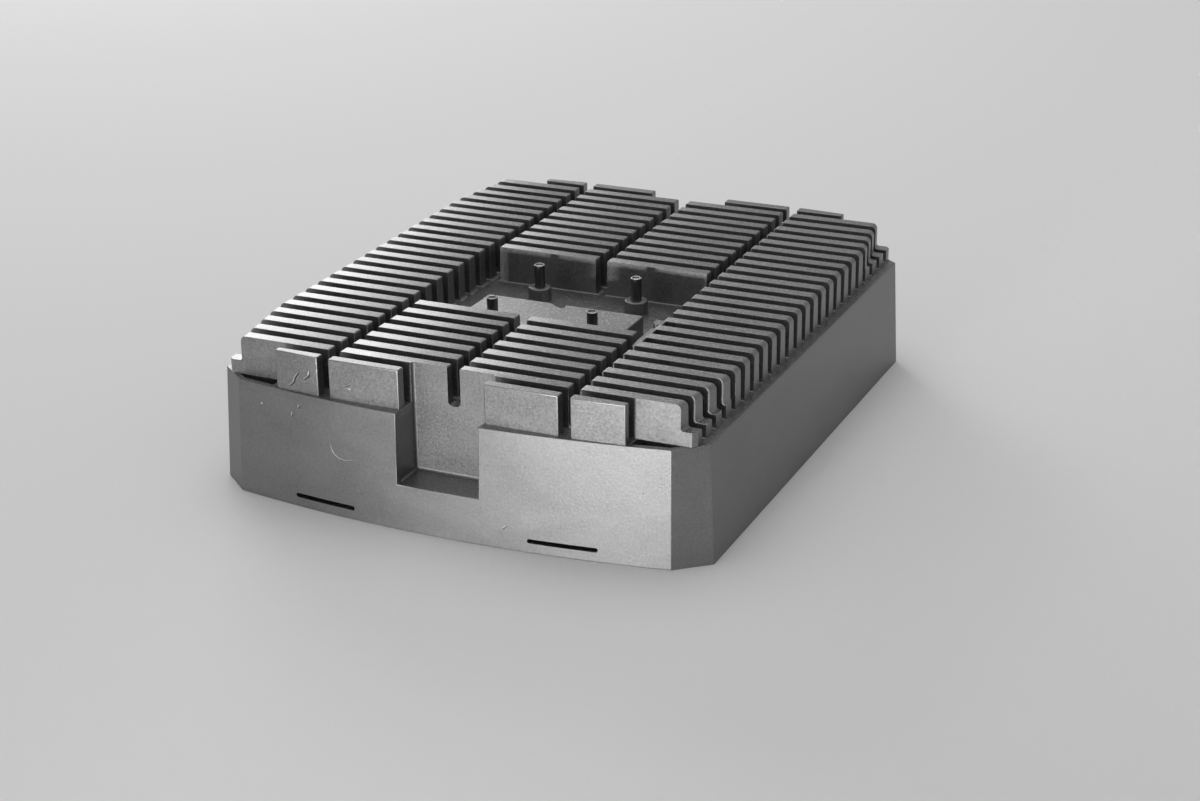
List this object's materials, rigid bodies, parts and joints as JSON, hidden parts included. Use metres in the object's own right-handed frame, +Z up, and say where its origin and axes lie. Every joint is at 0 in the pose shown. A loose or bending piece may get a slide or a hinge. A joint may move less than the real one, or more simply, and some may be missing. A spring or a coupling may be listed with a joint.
{
  "type": "die-cast heat sink housing",
  "caption": "Grey die-cast aluminium heat sink housing: an open-bottomed box with bowed ends, rows of cooling fins on its deck, a front recess, and a bay with standoffs.",
  "frame": {"origin": "centre of the footprint at the bottom rim", "axes": "+Z up through the fins, +Y from the bowed front wall with the recess to the back, +X to the right as seen from the front"},
  "size_m": [0.2136, 0.2674, 0.0639],
  "materials": {
    "shell_casting": "as-cast, shot-blasted, matt",
    "fin_casting": "as-cast, shot-blasted, satin fin tops",
    "standoff_steel": "turned, dark"
  },
  "bodies": {
    "root": {"front_wall": "shell_casting", "back_wall": "shell_casting", "left_wall": "shell_casting", "right_wall": "shell_casting", "front_left_corner_wall": "shell_casting", "front_right_corner_wall": "shell_casting", "back_left_corner_wall": "shell_casting", "back_right_corner_wall": "shell_casting", "deck": "shell_casting", "recess_back_wall": "shell_casting", "recess_cheeks": "shell_casting", "recess_floor": "shell_casting", "pocket_back_walls": "shell_casting", "pocket_side_walls": "shell_casting", "pocket_floors": "shell_casting", "front_block_outer_left": "fin_casting", "front_block_inner_left": "fin_casting", "front_block_inner_right": "fin_casting", "front_block_outer_right": "fin_casting", "back_block_outer_left": "fin_casting", "back_block_inner_left": "fin_casting", "back_block_inner_right": "fin_casting", "back_block_outer_right": "fin_casting", "outer_left_fins": "fin_casting", "inner_left_front_fins": "fin_casting", "inner_left_back_fins": "fin_casting", "inner_right_front_fins": "fin_casting", "inner_right_back_fins": "fin_casting", "outer_right_fins": "fin_casting", "fin_web": "fin_casting", "bay_pad": "fin_casting", "front_standoffs": "standoff_steel", "rear_standoffs": "standoff_steel", "standoff_collars": "fin_casting", "cover_bosses": "shell_casting"}
  },
  "joints": []
}
